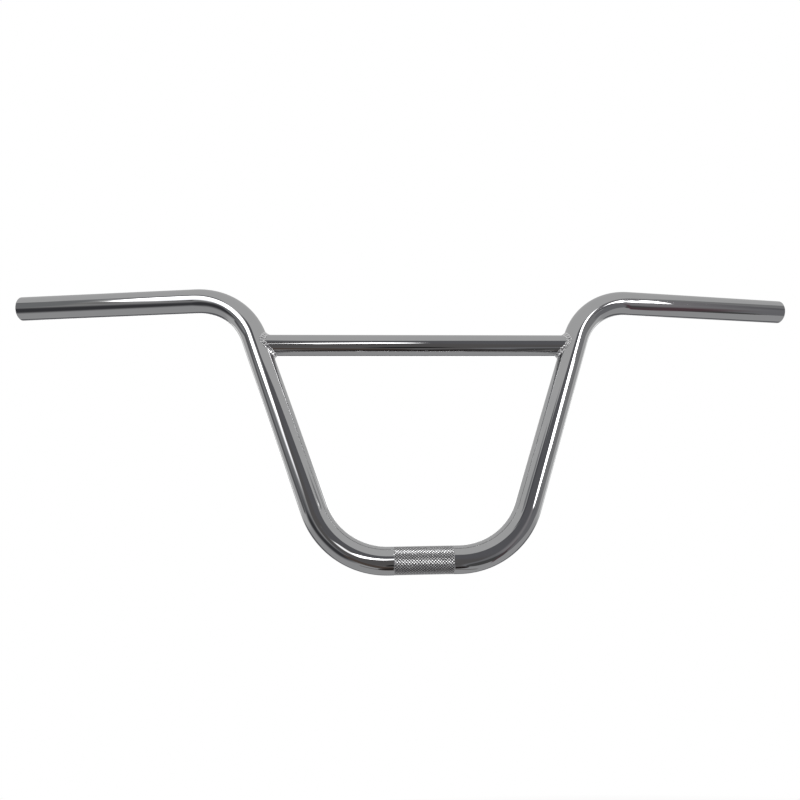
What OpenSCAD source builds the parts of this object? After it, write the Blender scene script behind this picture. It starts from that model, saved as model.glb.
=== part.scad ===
// Steel BMX handlebar: one bent main tube with a welded crossbar
// X runs along the grips, Y points the way the grips sweep, Z is up
// The origin is the middle of the stem clamp, on the tube's axis

/* [Overall] */
// Width over the two tube ends
bar_w = 744; // [700:1:790]
// Height of the tube ends above the stem clamp
rise = 246; // [220:1:270]
// Length of the straight that the stem clamps
clamp_len = 56.5; // [50:0.5:66]
// Lean of the uprights out from vertical
lean = 20.5; // [16:0.5:24]
// Sweep of the grips out of the plane of the uprights
backsweep = 10; // [6:0.5:13]
// Tilt of the grips above level
upsweep = 2.5; // [0:0.5:5]

/* [Tubes] */
// Outside diameter of the main tube
tube_d = 22.2; // [21.8:0.1:22.8]
// Wall of the main tube
tube_wall = 1.6; // [1.2:0.1:2.4]
// Radius of the bends on the tube's axis
bend_r = 63.5; // [50:0.5:75]
// Outside diameter of the crossbar
brace_d = 19; // [15:0.5:20]
// Wall of the crossbar
brace_wall = 1.2; // [0.9:0.1:1.8]
// Height of the crossbar's axis above the stem clamp
brace_h = 190; // [150:1:195]

/* [Finish] */
// Bevel round the tube ends
end_bevel = 0.5; // [0.2:0.1:0.8]
// Leg of the weld fillets
weld_leg = 3; // [2:0.5:5]
// Height of the ripples along the welds
ripple_h = 0.4; // [0.1:0.05:0.5]

/* [Hidden] */
$fn = 96;

tube_r = tube_d / 2;
bore_r = tube_r - tube_wall;
brace_r = brace_d / 2;
half_clamp = clamp_len / 2;
bend_slim = 0.01;
bend_sink = 0.3;
sink_turn = asin(bend_sink / bend_r);
cut_over = 2;

// Directions of the right upright and the right grip
up_dir = [sin(lean), 0, cos(lean)];
grip_dir = [cos(upsweep) * cos(backsweep), cos(upsweep) * sin(backsweep), sin(upsweep)];

// Turns of the two bends, and the way in to the centre of the top one
low_turn = 90 - lean;
top_turn = acos(up_dir * grip_dir);
top_in = (grip_dir - cos(top_turn) * up_dir) / sin(top_turn);

// What the bends cover, and the lengths of straight left over
low_span = [half_clamp + bend_r * sin(low_turn), 0, bend_r * (1 - cos(low_turn))];
top_span = bend_r * (sin(top_turn) * up_dir + (1 - cos(top_turn)) * top_in);
end_reach = tube_r * sqrt(1 - pow(grip_dir.x, 2));
left_x = bar_w / 2 - end_reach - low_span.x - top_span.x;
left_z = rise - low_span.z - top_span.z;
span_det = up_dir.x * grip_dir.z - grip_dir.x * up_dir.z;
up_len = (left_x * grip_dir.z - left_z * grip_dir.x) / span_det;
grip_len = (up_dir.x * left_z - up_dir.z * left_x) / span_det;
up_end = low_span + up_len * up_dir;
grip_start = up_end + top_span;

// Where the crossbar's axis meets the upright's
joint_x = low_span.x + (brace_h - low_span.z) * tan(lean);

// The weld bead: its ripples, the sections that make each one, and its hollow face from toe to toe
ripples = 24;
ripple_n = 4;
bead_n = ripples * ripple_n;
bead_steps = [0, 0.25, 0.5, 0.75, 1];
bead_hollow = 0.6;

// Half the width that the bead covers on the upright: past the crossbar by an angle that grows with
// the leg, and short of the upright's own sides
flank_rate = 45;
flank_limit = 84;
flank_w = tube_r * sin(min(asin(brace_r / tube_r) + flank_rate * weld_leg / tube_r, flank_limit));

// Places children at p with their x axis along x and their z axis along z
module place(p, x, z) {
    y = cross(z, x);
    multmatrix([
        [x.x, y.x, z.x, p.x],
        [x.y, y.y, z.y, p.y],
        [x.z, y.z, z.z, p.z]
    ]) children();
}

// A bend about the local z axis, from the local x axis on. It is a hair slimmer than the straights
// and runs on into them at both ends
module bend(turn, r) {
    rotate([0, 0, -sink_turn]) rotate_extrude(angle = turn + 2 * sink_turn)
        translate([bend_r, 0]) circle(r - bend_slim);
}

// The right half of the tube's path as far as the grip straight, at radius r
module half_path(r) {
    place([half_clamp, 0, bend_r], [0, 0, -1], [0, -1, 0]) bend(low_turn, r);
    place(low_span, [cos(lean), 0, -sin(lean)], up_dir) cylinder(h = up_len, r = r);
    place(up_end + bend_r * top_in, -top_in, cross(up_dir, top_in)) bend(top_turn, r);
}

module both_sides() {
    children();
    mirror([1, 0, 0]) children();
}

// Places children at the start of the right grip straight, with their z axis along it
module on_grip() {
    side = cross(top_in, grip_dir);
    place(grip_start, side / norm(side), grip_dir) children();
}

// The main tube filled solid
module tube_skin() {
    rotate([0, 90, 0]) cylinder(h = clamp_len, r = tube_r, center = true);
    both_sides() {
        half_path(tube_r);
        on_grip() {
            cylinder(h = grip_len - end_bevel, r = tube_r);
            translate([0, 0, grip_len - end_bevel])
                cylinder(h = end_bevel, r1 = tube_r, r2 = tube_r - end_bevel);
        }
    }
}

// The space inside the main tube
module tube_bore() {
    rotate([0, 90, 0]) cylinder(h = clamp_len, r = bore_r, center = true);
    both_sides() {
        half_path(bore_r);
        on_grip() {
            cylinder(h = grip_len - end_bevel, r = bore_r);
            translate([0, 0, grip_len - end_bevel])
                cylinder(h = end_bevel + cut_over, r1 = bore_r, r2 = bore_r + end_bevel + cut_over);
        }
    }
}

module main_tube() {
    color("silver") difference() {
        tube_skin();
        tube_bore();
    }
}

// The crossbar's outline at radius r, as long as the joints with over added to each end
module brace_rod(r, over) {
    translate([0, 0, brace_h]) rotate([0, 90, 0])
        cylinder(h = 2 * (joint_x + over), r = r, center = true);
}

module crossbar() {
    color("silver") difference() {
        brace_rod(brace_r, 0);
        brace_rod(brace_r - brace_wall, cut_over);
        tube_skin();
    }
}

// Where a rod of half width b and half height c, on the crossbar's axis, meets the right
// upright at angle a round that axis
function meet(b, c, a) =
    let (s = -sqrt(pow(tube_r, 2) - pow(b * cos(a), 2)))
    [joint_x + (s + c * sin(a) * sin(lean)) / cos(lean), b * cos(a), brace_h + c * sin(a)];

// One section of the bead at angle a, swollen by the share k of a ripple. It starts in the
// corner, runs out to the crossbar, over to the upright and back along the upright's surface
function bead_section(a, k) =
    let (leg = weld_leg + k * ripple_h)
    let (corner = meet(brace_r, brace_r, a))
    let (bar_toe = corner - [leg, 0, 0])
    let (post_toe = meet(flank_w, brace_r + leg, a))
    let (post_mid = meet((brace_r + flank_w) / 2, brace_r + leg / 2, a))
    let (out = (bar_toe + post_toe) / 2 - corner)
    let (n = out / norm(out))
    concat(
        [corner],
        [for (t = bead_steps)
            bar_toe + t * (post_toe - bar_toe)
                - 4 * t * (1 - t) * (bead_hollow - k * ripple_h) * n],
        [post_mid]
    );

module weld_right() {
    sections = [for (i = [0:bead_n - 1])
        bead_section(360 * i / bead_n, abs(sin(180 * i / ripple_n)))];
    m = len(sections[0]);
    points = [for (section = sections) each section];
    faces = [for (i = [0:bead_n - 1], j = [0:m - 1])
        let (i2 = (i + 1) % bead_n, j2 = (j + 1) % m)
        each [
            [i * m + j, i * m + j2, i2 * m + j],
            [i * m + j2, i2 * m + j2, i2 * m + j]
        ]];
    color("silver") polyhedron(points = points, faces = faces, convexity = 6);
}

module weld_left() {
    mirror([1, 0, 0]) weld_right();
}

main_tube();
crossbar();
weld_left();
weld_right();
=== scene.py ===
import math

import bmesh
import bpy
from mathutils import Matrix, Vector

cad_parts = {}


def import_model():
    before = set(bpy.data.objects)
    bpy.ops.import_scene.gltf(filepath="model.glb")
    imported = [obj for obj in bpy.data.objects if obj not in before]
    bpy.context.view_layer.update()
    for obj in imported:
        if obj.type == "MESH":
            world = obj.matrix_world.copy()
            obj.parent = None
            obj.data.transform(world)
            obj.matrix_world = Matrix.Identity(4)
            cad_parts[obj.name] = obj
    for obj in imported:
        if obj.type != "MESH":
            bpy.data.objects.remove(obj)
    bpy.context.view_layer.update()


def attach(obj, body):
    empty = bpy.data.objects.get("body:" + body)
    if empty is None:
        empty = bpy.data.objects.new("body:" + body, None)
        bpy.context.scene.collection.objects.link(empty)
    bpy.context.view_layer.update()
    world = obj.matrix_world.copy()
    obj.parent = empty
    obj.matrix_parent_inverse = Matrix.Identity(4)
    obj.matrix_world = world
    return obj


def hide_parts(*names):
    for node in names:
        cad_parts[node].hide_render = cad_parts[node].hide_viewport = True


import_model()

# Sizes in metres and turns in radians, as in the CAD model
BAR_W = 0.744
RISE = 0.246
CLAMP_LEN = 0.0565
LEAN = math.radians(20.5)
BACKSWEEP = math.radians(10)
UPSWEEP = math.radians(2.5)
TUBE_R = 0.0111
TUBE_WALL = 0.0016
BEND_R = 0.0635
BRACE_R = 0.0095
BRACE_WALL = 0.0012
BRACE_H = 0.190
END_BEVEL = 0.0005
WELD_LEG = 0.003
RIPPLE_H = 0.0004
RIPPLES = 24
BEAD_HOLLOW = 0.0006
FLANK_RATE = math.radians(45)
FLANK_LIMIT = math.radians(84)

# The knurled band round the middle of the clamp: half its length, the diamonds round the tube, their pitch
# along it, the grooves' depth, the share of that depth that the ridges' flat tops take, and the length
# over which the grooves run out at both ends
KNURL_HALF = 0.024
KNURL_N = 30
KNURL_PITCH = 0.0024
KNURL_DEPTH = 0.00042
KNURL_FLAT = 0.10
KNURL_FADE = 0.0006

# How finely the meshes are cut: each diamond of the knurl both ways, each bend and straight along the
# tube, the crossbar round and along the middle stretch that its copes don't reach, and each weld bead
# along a ripple and across its face
KNURL_CUTS = 8
BEND_CUTS = 36
STRAIGHT_CUTS = 12
BRACE_ROUND = 128
BRACE_CUTS = 22
BRACE_PLAIN_HALF = 0.11
RIPPLE_CUTS = 10
FACE_CUTS = 10

# Less than any step of the meshes and maps
HAIR = 1e-5

# The tube's path: its directions, turns, spans and straights, worked out as in the CAD model
FRONT = Vector((0, -1, 0))
ALONG = Vector((1, 0, 0))
UP = Vector((math.sin(LEAN), 0, math.cos(LEAN)))
GRIP = Vector((
    math.cos(UPSWEEP) * math.cos(BACKSWEEP),
    math.cos(UPSWEEP) * math.sin(BACKSWEEP),
    math.sin(UPSWEEP)))
LOW_TURN = math.pi / 2 - LEAN
TOP_TURN = UP.angle(GRIP)
TOP_IN = (GRIP - math.cos(TOP_TURN) * UP) / math.sin(TOP_TURN)
LOW_SPAN = Vector((CLAMP_LEN / 2 + BEND_R * math.sin(LOW_TURN), 0, BEND_R * (1 - math.cos(LOW_TURN))))
TOP_SPAN = BEND_R * (math.sin(TOP_TURN) * UP + (1 - math.cos(TOP_TURN)) * TOP_IN)
LEFT_X = BAR_W / 2 - TUBE_R * math.sqrt(1 - GRIP.x ** 2) - LOW_SPAN.x - TOP_SPAN.x
LEFT_Z = RISE - LOW_SPAN.z - TOP_SPAN.z
SPAN_DET = UP.x * GRIP.z - GRIP.x * UP.z
UP_LEN = (LEFT_X * GRIP.z - LEFT_Z * GRIP.x) / SPAN_DET
GRIP_LEN = (UP.x * LEFT_Z - UP.z * LEFT_X) / SPAN_DET
UP_END = LOW_SPAN + UP_LEN * UP
GRIP_START = UP_END + TOP_SPAN
JOINT_X = LOW_SPAN.x + (BRACE_H - LOW_SPAN.z) * math.tan(LEAN)

# Half the width that a weld bead covers on the upright
FLANK_W = TUBE_R * math.sin(min(math.asin(BRACE_R / TUBE_R) + FLANK_RATE * WELD_LEG / TUBE_R, FLANK_LIMIT))

# Noise in the chrome: faint smears in its colour and gloss, slow waves in the tubes and the grain of the
# weld beads. Scales are per metre and depths in metres.
SMEAR_SCALE = 55
SMEAR_DETAIL = 3.0
SMEAR_MIX = 0.6
SMEAR_LOW = 0.3
SMEAR_HIGH = 0.7
WAVE_SCALE = 60
WAVE_DEPTH = 0.00002
GRAIN_SCALE = 900
GRAIN_DEPTH = 0.00005

# The chrome of the knurl and the weld beads: brighter than the tube's, a painted highlight that lifts their
# glints, and just rough enough for the denoiser to keep their fine relief. Painted shade darkens the
# grooves: it starts at one share of their full depth, and is darkest from another on.
RELIEF_DARK = (0.88, 0.88, 0.885)
RELIEF_LIGHT = (0.94, 0.94, 0.945)
RELIEF_ROUGH = (0.276, 0.29)
GROOVE_SHADE_START = 0.4
GROOVE_SHADE_DARKEST = 0.9

# The floor: its height, half its side, the cells along a side, its colour, and how far from the bar it
# starts to turn into the plain white background and has become it
FLOOR_Z = -0.30
FLOOR_HALF = 6.0
FLOOR_CELLS = 24
FLOOR_COLOUR = (0.93, 0.93, 0.93)
FLOOR_ROUGH = 0.9
FLOOR_FADES = 0.7
FLOOR_GONE = 1.4

# Light levels: the world as the floor is lit by it, the white background, and no light
SOFT_LIGHT = (0.62, 0.62, 0.62)
WHITE = (1.0, 1.0, 1.0)
BLACK = (0.0, 0.0, 0.0)

# The soft lamp above the bar: its sides, watts, place, and the point that it faces
LAMP_W = 0.8
LAMP_D = 0.6
LAMP_WATTS = 18
LAMP_PLACE = Vector((-0.3, -0.5, 2.0))
LAMP_AIM = Vector((0, 0.05, 0.1))

# The camera at the photograph's place: its turn is in degrees, its lens and sensor in millimetres
CAMERA_PLACE = (-0.04010, -0.60143, -0.10329)
CAMERA_TURN = (114.875, 1.790, -3.780)
CAMERA_LENS = 33.386
CAMERA_SENSOR = 36.0
CAMERA_SHIFT_X = -0.03423
CAMERA_SHIFT_Y = -0.05081

# The studio that the chrome mirrors. Directions lie on a flat map in degrees: its middle is straight out of
# the bar's front (-Y), u goes to +X and v up, and the distance from the middle is the angle from the front.
# What is far off is painted on the world by direction. What stands near is painted on a dome round the
# bar, so that it shifts from one part of the bar to the next.
# Each mark is (what it stands for, line from, line to, half width, soft edge, level), painted in order.
DOME_R = 0.85
DOME_MIDDLE = (0, 0, 0.12)
DOME_CUTS = 5
ROOM = (0.52, 0.52, 0.52)
LIT = (6, 6, 6)
FAR = (
    ("floor and far side of the room", (149, -85), (-134, -100), 68.5, 18, (0.39, 0.39, 0.395)),
    ("wall on the left", (-86, -2), (-49, 23), 10, 2, (0.13, 0.13, 0.135)),
    ("wall on the right", (55, 26), (77, -2), 15.5, 3, (0.25, 0.25, 0.255)),
    ("dark front of the room", (16, -9), (3, -12), 39, 1, (0.13, 0.13, 0.14)),
    ("dark screen round the camera", (-23, -2), (20, -53), 19.5, 15, (0.12, 0.115, 0.115)),
    ("grey board on the left", (-66, -1), (-55, -7), 11.5, 1.5, (0.29, 0.295, 0.305)),
    ("dark screen on the left", (-62, -18), (-42, -48), 16.5, 21, (0.05, 0.05, 0.055)),
    ("low screen on the right", (62, -20), (29, -55), 20, 3, (0.19, 0.19, 0.2)),
    ("dark board low on the right", (26, -60), (43, -57), 13, 1, (0.08, 0.08, 0.08)),
    ("red edge of that board", (47, -27), (49, -76), 2.5, 4, (0.10, 0.06, 0.07)),
    ("brown board low on the left", (-27, -47), (-5, -64), 9, 1, (0.1, 0.08, 0.07)),
    ("black mat", (9, -76), (-1, -82), 9.5, 1, (0.025, 0.02, 0.02)),
    ("lamp beside the camera", (-11, -12), (1, 2), 2.5, 2, LIT),
    ("glow round that lamp", (-13, -11), (-14, -2), 4, 5.5, (1.6, 1.6, 1.6)),
    ("dark gap under the ceiling", (-17, 26), (-11, 27), 4.5, 3.5, (0.1, 0.1, 0.11)),
    ("dark line on the floor", (-29, -77), (38, -105), 2.5, 1, (0.15, 0.135, 0.125)),
    ("black foot of the camera's stand", (2, -51), (4, -44), 3, 2, (0.01, 0.01, 0.01)),
    ("boom of the left softbox", (-30, 32), (-37, 30), 5.5, 1, (0.25, 0.25, 0.26)),
    ("stand of the right softbox", (40, -30), (38, 13), 7, 14, (0.27, 0.26, 0.27)),
)
NEAR = (
    ("left softbox", (-43, 22), (-45, 16), 8, 4, LIT),
    ("foot of the left softbox", (-42, 23), (-46, 5), 5, 8, (1.7, 1.7, 1.75)),
    ("right softbox", (39, 24), (47, 2), 5.5, 3, LIT),
    ("edge of the right softbox", (51, 17), (54, 4), 1, 1, LIT),
    ("left curtain", (-64, 5), (-59, 26), 5, 3, (0.21, 0.215, 0.22)),
    ("dark stand before the lamp", (-22, -8), (-14, -3), 3.5, 1, (0.13, 0.13, 0.14)),
)
# What lies behind the bar, which the photograph doesn't show. The middle of this map is +Y.
BEHIND = (
    ("dark wall", (-37, -13), (37, -13), 12, 3, (0.13, 0.13, 0.14)),
    ("window", (-20, 16), (18, 18), 4, 2, (2.2, 2.2, 2.2)),
    ("tall window on the left", (-47, 4), (-44, 32), 5, 2, (1.2, 1.2, 1.2)),
    ("tall window on the right", (47, 4), (44, 32), 5, 2, (1.2, 1.2, 1.2)),
)


# Mesh helpers

def steps(start, end, n):
    """n + 1 values from start to end."""
    return [start + (end - start) * i / n for i in range(n + 1)]


def new_object(name, bm, materials):
    """An object made of bm, which it frees. An edge is sharp where a face beside it is flat."""
    bmesh.ops.recalc_face_normals(bm, faces=bm.faces)
    for edge in bm.edges:
        edge.smooth = all(face.smooth for face in edge.link_faces)
    mesh = bpy.data.meshes.new(name)
    bm.to_mesh(mesh)
    bm.free()
    for item in materials:
        mesh.materials.append(item)
    obj = bpy.data.objects.new(name, mesh)
    bpy.context.scene.collection.objects.link(obj)
    return obj


def bridge(bm, a, b, smooth=True, slot=0):
    """Joins two rings of vertices. One may have a whole number of times as many as the other."""
    n = min(len(a), len(b))
    for j in range(n):
        sides = []
        for row in (a, b):
            k = len(row) // n
            sides.append([row[(j * k + i) % len(row)] for i in range(k + 1)])
        face = bm.faces.new(sides[0] + sides[1][::-1])
        face.smooth = smooth
        face.material_index = slot


# The main tube

def right_path():
    """Stations (point, direction, distance) along the right half of the tube, from its middle out."""
    low_from = CLAMP_LEN / 2
    up_from = low_from + BEND_R * LOW_TURN
    top_from = up_from + UP_LEN
    grip_from = top_from + BEND_R * TOP_TURN
    knurl_steps = round(KNURL_HALF / KNURL_PITCH * KNURL_CUTS)
    out = [(s * ALONG, ALONG, s) for s in steps(0, KNURL_HALF, knurl_steps) + [low_from]]
    for a in steps(0, LOW_TURN, BEND_CUTS)[1:]:
        p = Vector((low_from + BEND_R * math.sin(a), 0, BEND_R * (1 - math.cos(a))))
        out.append((p, Vector((math.cos(a), 0, math.sin(a))), low_from + BEND_R * a))
    for s in steps(0, UP_LEN, STRAIGHT_CUTS)[1:]:
        out.append((LOW_SPAN + s * UP, UP, up_from + s))
    for a in steps(0, TOP_TURN, BEND_CUTS)[1:]:
        p = UP_END + BEND_R * (math.sin(a) * UP + (1 - math.cos(a)) * TOP_IN)
        out.append((p, math.cos(a) * UP + math.sin(a) * TOP_IN, top_from + BEND_R * a))
    for s in steps(0, GRIP_LEN - END_BEVEL, STRAIGHT_CUTS)[1:] + [GRIP_LEN]:
        out.append((GRIP_START + s * GRIP, GRIP, grip_from + s))
    return out


def carried(stations):
    """Adds to each station its two directions across the tube, carried along without twist."""
    n = FRONT
    last = stations[0][1]
    out = []
    for p, d, s in stations:
        n = last.rotation_difference(d) @ n
        n = (n - n.dot(d) * d).normalized()
        out.append((p, s, n, d.cross(n)))
        last = d
    return out


def left_to_right(picked):
    """The picked stations of both halves in order, as (number, side). The middle one comes once."""
    return [(i, -1) for i in reversed(picked) if i] + [(i, 1) for i in picked]


def knurl_drop(s, a):
    """How far the knurled surface lies under the tube's own at distance s from its middle, angle a."""
    across = KNURL_N * a / (2 * math.pi)
    along = s / KNURL_PITCH
    groove = max(abs(2 * ((across + along) % 1) - 1), abs(2 * ((across - along) % 1) - 1))
    fade = min(1, max(0, (KNURL_HALF - s) / KNURL_FADE))
    return KNURL_DEPTH * fade * max(0, groove - KNURL_FLAT) / (1 - KNURL_FLAT)


def ring(bm, station, side, r, count, knurled=False):
    """A ring of vertices round a station at radius r. side is -1 for the mirror image in x = 0."""
    deep = bm.verts.layers.float["deep"]
    p, s, n, b = station
    out = []
    for j in range(count):
        a = 2 * math.pi * j / count
        drop = knurl_drop(s, a) if knurled else 0
        q = p + (r - drop) * (math.cos(a) * n + math.sin(a) * b)
        vert = bm.verts.new((side * q.x, q.y, q.z))
        # How deep the knurl lies here, which its chrome turns into painted shade
        vert[deep] = drop / KNURL_DEPTH
        out.append(vert)
    return out


def main_tube(materials):
    """Skin and bore as rings from the left end to the right one. The materials are those of the plain
    skin, the knurled band and the bore. Faces at the band and at the end bevels are flat."""
    bm = bmesh.new()
    bm.verts.layers.float.new("deep")
    around = KNURL_N * KNURL_CUTS
    stations = carried(right_path())
    end = len(stations) - 1
    in_band = [s < KNURL_HALF - HAIR for _, s, _, _ in stations]

    skin = []
    band = []
    for i, side in left_to_right(range(end + 1)):
        r = TUBE_R - END_BEVEL if i == end else TUBE_R
        count = around if in_band[i] else around // 2
        skin.append(ring(bm, stations[i], side, r, count, in_band[i]))
        band.append(in_band[i])
    for k in range(len(skin) - 1):
        flat = band[k] or band[k + 1] or k in (0, len(skin) - 2)
        slot = 1 if band[k] and band[k + 1] else 0
        bridge(bm, skin[k], skin[k + 1], not flat, slot)

    bore = []
    for i, side in left_to_right([i for i in range(end + 1) if not in_band[i]]):
        r = TUBE_R - TUBE_WALL + (END_BEVEL if i == end else 0)
        bore.append(ring(bm, stations[i], side, r, around // 4))
    for k in range(len(bore) - 1):
        bridge(bm, bore[k], bore[k + 1], k not in (0, len(bore) - 2), 2)
    for k in (0, -1):
        bridge(bm, skin[k], bore[k], smooth=False)
    return new_object("main_tube_chromed", bm, materials)


# The crossbar and its welds

def meet(b, c, a):
    """Where a rod of half width b and half height c on the crossbar's axis meets the right upright, at
    angle a round that axis."""
    s = -math.sqrt(TUBE_R ** 2 - (b * math.cos(a)) ** 2)
    x = JOINT_X + (s + c * math.sin(a) * math.sin(LEAN)) / math.cos(LEAN)
    return Vector((x, b * math.cos(a), BRACE_H + c * math.sin(a)))


def crossbar(materials):
    """Skin and bore with coped ends. The materials are those of the skin and the bore."""
    bm = bmesh.new()
    angles = [2 * math.pi * j / BRACE_ROUND for j in range(BRACE_ROUND)]
    walls = []
    for r in (BRACE_R, BRACE_R - BRACE_WALL):
        ends = [meet(r, r, a) for a in angles]
        left = [bm.verts.new((-q.x, q.y, q.z)) for q in ends]
        right = [bm.verts.new(q) for q in ends]
        middle = steps(-BRACE_PLAIN_HALF, BRACE_PLAIN_HALF, BRACE_CUTS)
        walls.append([left] + [[bm.verts.new((x, q.y, q.z)) for q in ends] for x in middle] + [right])
    for slot, rings in enumerate(walls):
        for a, b in zip(rings, rings[1:]):
            bridge(bm, a, b, slot=slot)
    for end in (0, -1):
        bridge(bm, walls[0][end], walls[1][end], smooth=False)
    return new_object("crossbar_chromed", bm, materials)


def bead_section(a, swell):
    """One section of the right bead at angle a round the crossbar, swell being its share of a ripple.
    Each point comes with how deep it lies between the ripples, from 0 to 1."""
    leg = WELD_LEG + swell * RIPPLE_H
    hollow = BEAD_HOLLOW - swell * RIPPLE_H
    corner = meet(BRACE_R, BRACE_R, a)
    bar_toe = corner - leg * ALONG
    post_toe = meet(FLANK_W, BRACE_R + leg, a)
    post_mid = meet((BRACE_R + FLANK_W) / 2, BRACE_R + leg / 2, a)
    out = ((bar_toe + post_toe) / 2 - corner).normalized()
    section = [(corner, 0)]
    for t in steps(0, 1, FACE_CUTS):
        bulge = 4 * t * (1 - t)
        section.append((bar_toe.lerp(post_toe, t) - bulge * hollow * out, bulge * (1 - swell)))
    section.append((post_mid, 0))
    return section


def weld(name, side, materials):
    """The right bead, or with side -1 its mirror image in x = 0."""
    bm = bmesh.new()
    deep = bm.verts.layers.float.new("deep")
    count = RIPPLES * RIPPLE_CUTS
    rows = []
    for i in range(count):
        swell = abs(math.sin(math.pi * i / RIPPLE_CUTS))
        row = []
        for q, sunk in bead_section(2 * math.pi * i / count, swell):
            vert = bm.verts.new((side * q.x, q.y, q.z))
            # How deep the bead lies between its ripples, which its chrome turns into painted shade
            vert[deep] = sunk
            row.append(vert)
        rows.append(row)
    for i in range(count):
        bridge(bm, rows[i], rows[(i + 1) % count])
    return new_object(name, bm, materials)


# Shader nodes

def new_nodes(owner):
    """The emptied node tree of a material or world."""
    owner.use_nodes = True
    owner.node_tree.nodes.clear()
    return owner.node_tree


def math_node(nt, op, a, b=None, clamp=False):
    """One step of arithmetic on numbers or sockets."""
    n = nt.nodes.new("ShaderNodeMath")
    n.operation = op
    n.use_clamp = clamp
    for i, v in enumerate((a, b)):
        if isinstance(v, (int, float)):
            n.inputs[i].default_value = v
        elif v is not None:
            nt.links.new(v, n.inputs[i])
    return n.outputs["Value"]


def vector_node(nt, op, a, b=None, scale=None):
    """One step of arithmetic on vectors, as tuples or sockets."""
    n = nt.nodes.new("ShaderNodeVectorMath")
    n.operation = op
    for i, v in enumerate((a, b)):
        if isinstance(v, tuple):
            n.inputs[i].default_value = v
        elif v is not None:
            nt.links.new(v, n.inputs[i])
    if scale:
        nt.links.new(scale, n.inputs["Scale"])
    return n.outputs["Value" if op in ("DOT_PRODUCT", "LENGTH") else "Vector"]


def spread(nt, value, low, high, to_low, to_high, kind="LINEAR"):
    """value stretched from the range low to high onto the range to_low to to_high."""
    n = nt.nodes.new("ShaderNodeMapRange")
    n.interpolation_type = kind
    for key, v in (("From Min", low), ("From Max", high), ("To Min", to_low), ("To Max", to_high)):
        n.inputs[key].default_value = v
    nt.links.new(value, n.inputs["Value"])
    return n.outputs["Result"]


def over(nt, colour, mask, level):
    """colour with level laid over it as far as mask goes. Both may be plain colours."""
    n = nt.nodes.new("ShaderNodeMix")
    n.data_type = "RGBA"
    for key, v in (("A", colour), ("B", level)):
        if isinstance(v, tuple):
            n.inputs[key].default_value = (*v, 1)
        else:
            nt.links.new(v, n.inputs[key])
    nt.links.new(mask, n.inputs["Factor"])
    return n.outputs["Result"]


def noise(nt, place, scale, detail, mix=0.5):
    """Soft noise at a place, with mix as the share of its finer parts."""
    n = nt.nodes.new("ShaderNodeTexNoise")
    n.inputs["Scale"].default_value = scale
    n.inputs["Detail"].default_value = detail
    n.inputs["Roughness"].default_value = mix
    nt.links.new(place, n.inputs["Vector"])
    return n.outputs["Fac"]


# Materials of the bar

def material(name):
    """A material, its node tree, its Principled shader and its output, which aren't joined yet."""
    m = bpy.data.materials.new(name)
    nt = new_nodes(m)
    out = nt.nodes.new("ShaderNodeOutputMaterial")
    bsdf = nt.nodes.new("ShaderNodeBsdfPrincipled")
    return m, nt, bsdf, out


def bumped(nt, place, scale, depth):
    """The surface's normal with noise of this scale and depth in metres."""
    bump = nt.nodes.new("ShaderNodeBump")
    bump.inputs["Strength"].default_value = 1.0
    bump.inputs["Distance"].default_value = depth
    nt.links.new(noise(nt, place, scale, 1.0), bump.inputs["Height"])
    return bump.outputs["Normal"]


def chrome(name, dark, light, rough, bump=None, groove=None):
    """A metal with faint smears in its colour and gloss. rough is the range of its roughness, bump the scale
    and depth of its unevenness, and groove the colour of the painted shade laid where its mesh says that it
    lies deep."""
    m, nt, bsdf, out = material(name)
    place = nt.nodes.new("ShaderNodeTexCoord").outputs["Object"]
    smear = noise(nt, place, SMEAR_SCALE, SMEAR_DETAIL, SMEAR_MIX)
    colour = over(nt, dark, smear, light)
    # Painted shade: the colour turns towards groove where the mesh's deep attribute says the surface lies
    # deep
    if groove:
        deep = nt.nodes.new("ShaderNodeAttribute")
        deep.attribute_name = "deep"
        painted_groove_shade = spread(nt, deep.outputs["Fac"], GROOVE_SHADE_START, GROOVE_SHADE_DARKEST, 0.0, 1.0)
        colour = over(nt, colour, painted_groove_shade, groove)
    nt.links.new(colour, bsdf.inputs["Base Color"])
    nt.links.new(spread(nt, smear, SMEAR_LOW, SMEAR_HIGH, *rough), bsdf.inputs["Roughness"])
    bsdf.inputs["Metallic"].default_value = 1.0
    if bump:
        nt.links.new(bumped(nt, place, *bump), bsdf.inputs["Normal"])
    nt.links.new(bsdf.outputs["BSDF"], out.inputs["Surface"])
    return m


tube_chrome = chrome("chrome_tube", (0.60, 0.605, 0.61), (0.64, 0.64, 0.645), (0.02, 0.05),
                     bump=(WAVE_SCALE, WAVE_DEPTH))
# The knurl and the weld beads take chrome brighter than the tube's as a painted highlight, with painted
# shade in their grooves
knurl_chrome = chrome("chrome_knurl", RELIEF_DARK, RELIEF_LIGHT, RELIEF_ROUGH,
                      groove=(0.05, 0.05, 0.052))
weld_chrome = chrome("chrome_weld", RELIEF_DARK, RELIEF_LIGHT, RELIEF_ROUGH,
                     bump=(GRAIN_SCALE, GRAIN_DEPTH), groove=(0.08, 0.08, 0.082))
bore_steel = chrome("steel_bore", (0.20, 0.19, 0.18), (0.32, 0.30, 0.28), (0.35, 0.55))


# The four pieces in the places of their CAD nodes

tube = main_tube([tube_chrome, knurl_chrome, bore_steel])
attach(tube, "root")
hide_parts("main_tube")

brace = crossbar([tube_chrome, bore_steel])
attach(brace, "root")
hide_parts("crossbar")

for name, node, side in (("weld_right_bead", "weld_right", 1), ("weld_left_bead", "weld_left", -1)):
    bead = weld(name, side, [weld_chrome])
    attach(bead, "root")
    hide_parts(node)


# The floor

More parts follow.
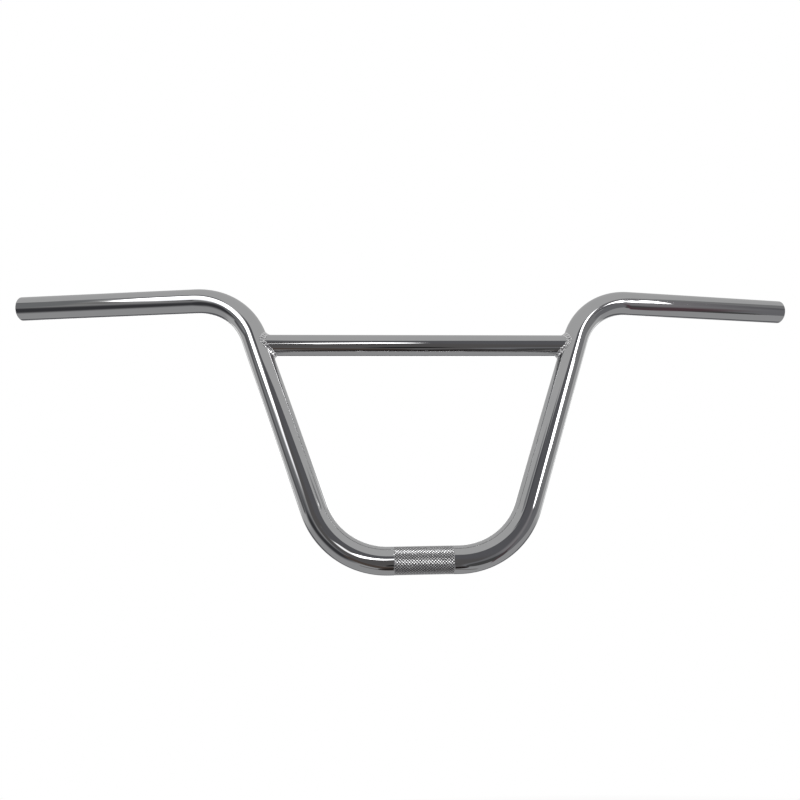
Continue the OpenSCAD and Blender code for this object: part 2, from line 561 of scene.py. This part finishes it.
def floor():
    """A pale floor that keeps the bar's soft shadow, and turns into plain white further off."""
    bm = bmesh.new()
    marks = steps(-FLOOR_HALF, FLOOR_HALF, FLOOR_CELLS)
    grid = [[bm.verts.new((x, y, FLOOR_Z)) for x in marks] for y in marks]
    for row, following in zip(grid, grid[1:]):
        for j in range(FLOOR_CELLS):
            bm.faces.new((row[j], row[j + 1], following[j + 1], following[j]))
    m, nt, bsdf, out = material("floor_white")
    bsdf.inputs["Base Color"].default_value = (*FLOOR_COLOUR, 1)
    bsdf.inputs["Roughness"].default_value = FLOOR_ROUGH
    bsdf.inputs["Specular IOR Level"].default_value = 0.0
    glow = nt.nodes.new("ShaderNodeEmission")
    place = nt.nodes.new("ShaderNodeTexCoord").outputs["Object"]
    edge = spread(nt, vector_node(nt, "LENGTH", place), FLOOR_FADES, FLOOR_GONE, 0.0, 1.0)
    paths = nt.nodes.new("ShaderNodeLightPath")
    mix = nt.nodes.new("ShaderNodeMixShader")
    nt.links.new(math_node(nt, "MULTIPLY", edge, paths.outputs["Is Camera Ray"]), mix.inputs["Fac"])
    nt.links.new(bsdf.outputs["BSDF"], mix.inputs[1])
    nt.links.new(glow.outputs["Emission"], mix.inputs[2])
    nt.links.new(mix.outputs["Shader"], out.inputs["Surface"])
    obj = new_object("floor", bm, [m])
    obj.visible_glossy = False


# The studio

def flat_map(nt, way, front=-1):
    """The place of a direction on the flat map round -Y, or with front=1 on the one round +Y."""
    xyz = nt.nodes.new("ShaderNodeSeparateXYZ")
    nt.links.new(vector_node(nt, "NORMALIZE", way), xyz.inputs["Vector"])
    x, y, z = xyz.outputs
    off = math_node(nt, "DEGREES", math_node(nt, "ARCCOSINE", math_node(nt, "MULTIPLY", y, front)))
    squares = math_node(nt, "ADD", math_node(nt, "MULTIPLY", x, x), math_node(nt, "MULTIPLY", z, z))
    flat = math_node(nt, "MAXIMUM", math_node(nt, "SQRT", squares), HAIR)
    stretch = math_node(nt, "DIVIDE", off, flat)
    place = nt.nodes.new("ShaderNodeCombineXYZ")
    nt.links.new(math_node(nt, "MULTIPLY", x, stretch), place.inputs["X"])
    nt.links.new(math_node(nt, "MULTIPLY", z, stretch), place.inputs["Y"])
    return place.outputs["Vector"]


def capsule(nt, place, start, end, half, soft):
    """1 within half of the line from start to end on the map, falling to 0 over soft."""
    line = (end[0] - start[0], end[1] - start[1], 0)
    off = vector_node(nt, "SUBTRACT", place, (*start, 0))
    along = math_node(nt, "DIVIDE", vector_node(nt, "DOT_PRODUCT", off, line),
                      line[0] ** 2 + line[1] ** 2, clamp=True)
    away = vector_node(nt, "SUBTRACT", off, vector_node(nt, "SCALE", line, scale=along))
    return spread(nt, vector_node(nt, "LENGTH", away), half - soft / 2, half + soft / 2, 1, 0, "SMOOTHSTEP")


def world():
    """Mirrored rays see the far studio, the camera sees plain white, and all else is lit softly."""
    studio = bpy.data.worlds.new("studio")
    bpy.context.scene.world = studio
    nt = new_nodes(studio)
    way = nt.nodes.new("ShaderNodeTexCoord").outputs["Generated"]
    seen = ROOM
    for front, marks in ((-1, FAR), (1, BEHIND)):
        place = flat_map(nt, way, front)
        for _, start, end, half, soft, level in marks:
            seen = over(nt, seen, capsule(nt, place, start, end, half, soft), level)
    paths = nt.nodes.new("ShaderNodeLightPath")
    mirrored = math_node(nt, "MAXIMUM", paths.outputs["Is Glossy Ray"], paths.outputs["Is Transmission Ray"])
    plain = over(nt, SOFT_LIGHT, mirrored, seen)
    glow = nt.nodes.new("ShaderNodeBackground")
    nt.links.new(over(nt, plain, paths.outputs["Is Camera Ray"], WHITE), glow.inputs["Color"])
    out = nt.nodes.new("ShaderNodeOutputWorld")
    nt.links.new(glow.outputs["Background"], out.inputs["Surface"])


def dome():
    """The near marks, clear between them, seen in mirrored rays alone."""
    bm = bmesh.new()
    bmesh.ops.create_icosphere(bm, subdivisions=DOME_CUTS, radius=DOME_R)
    m = bpy.data.materials.new("dome_near")
    nt = new_nodes(m)
    place = flat_map(nt, nt.nodes.new("ShaderNodeTexCoord").outputs["Object"])
    seen = BLACK
    gap = 1
    for _, start, end, half, soft, level in NEAR:
        mask = capsule(nt, place, start, end, half, soft)
        seen = over(nt, seen, mask, level)
        gap = math_node(nt, "MULTIPLY", gap, math_node(nt, "SUBTRACT", 1, mask))
    clear = nt.nodes.new("ShaderNodeBsdfTransparent")
    nt.links.new(over(nt, BLACK, gap, WHITE), clear.inputs["Color"])
    glow = nt.nodes.new("ShaderNodeEmission")
    nt.links.new(seen, glow.inputs["Color"])
    both = nt.nodes.new("ShaderNodeAddShader")
    nt.links.new(clear.outputs["BSDF"], both.inputs[0])
    nt.links.new(glow.outputs["Emission"], both.inputs[1])
    out = nt.nodes.new("ShaderNodeOutputMaterial")
    nt.links.new(both.outputs["Shader"], out.inputs["Surface"])
    obj = new_object("dome", bm, [m])
    obj.location = DOME_MIDDLE
    obj.visible_camera = False
    obj.visible_diffuse = False
    obj.visible_shadow = False


def lamp():
    """The soft lamp above the bar, which the chrome doesn't mirror."""
    light = bpy.data.lights.new("softbox", "AREA")
    light.shape = "RECTANGLE"
    light.size = LAMP_W
    light.size_y = LAMP_D
    light.energy = LAMP_WATTS
    obj = bpy.data.objects.new("softbox", light)
    obj.location = LAMP_PLACE
    obj.rotation_euler = (LAMP_AIM - LAMP_PLACE).to_track_quat("-Z", "Y").to_euler()
    obj.visible_glossy = False
    bpy.context.scene.collection.objects.link(obj)


def camera():
    """The photograph's view."""
    view = bpy.data.cameras.new("photo_view")
    view.sensor_width = CAMERA_SENSOR
    view.lens = CAMERA_LENS
    view.shift_x = CAMERA_SHIFT_X
    view.shift_y = CAMERA_SHIFT_Y
    eye = bpy.data.objects.new("photo_view", view)
    eye.location = CAMERA_PLACE
    eye.rotation_euler = [math.radians(a) for a in CAMERA_TURN]
    bpy.context.scene.collection.objects.link(eye)
    bpy.context.scene.camera = eye


floor()
world()
dome()
lamp()
camera()
bpy.context.scene.view_settings.view_transform = "Standard"
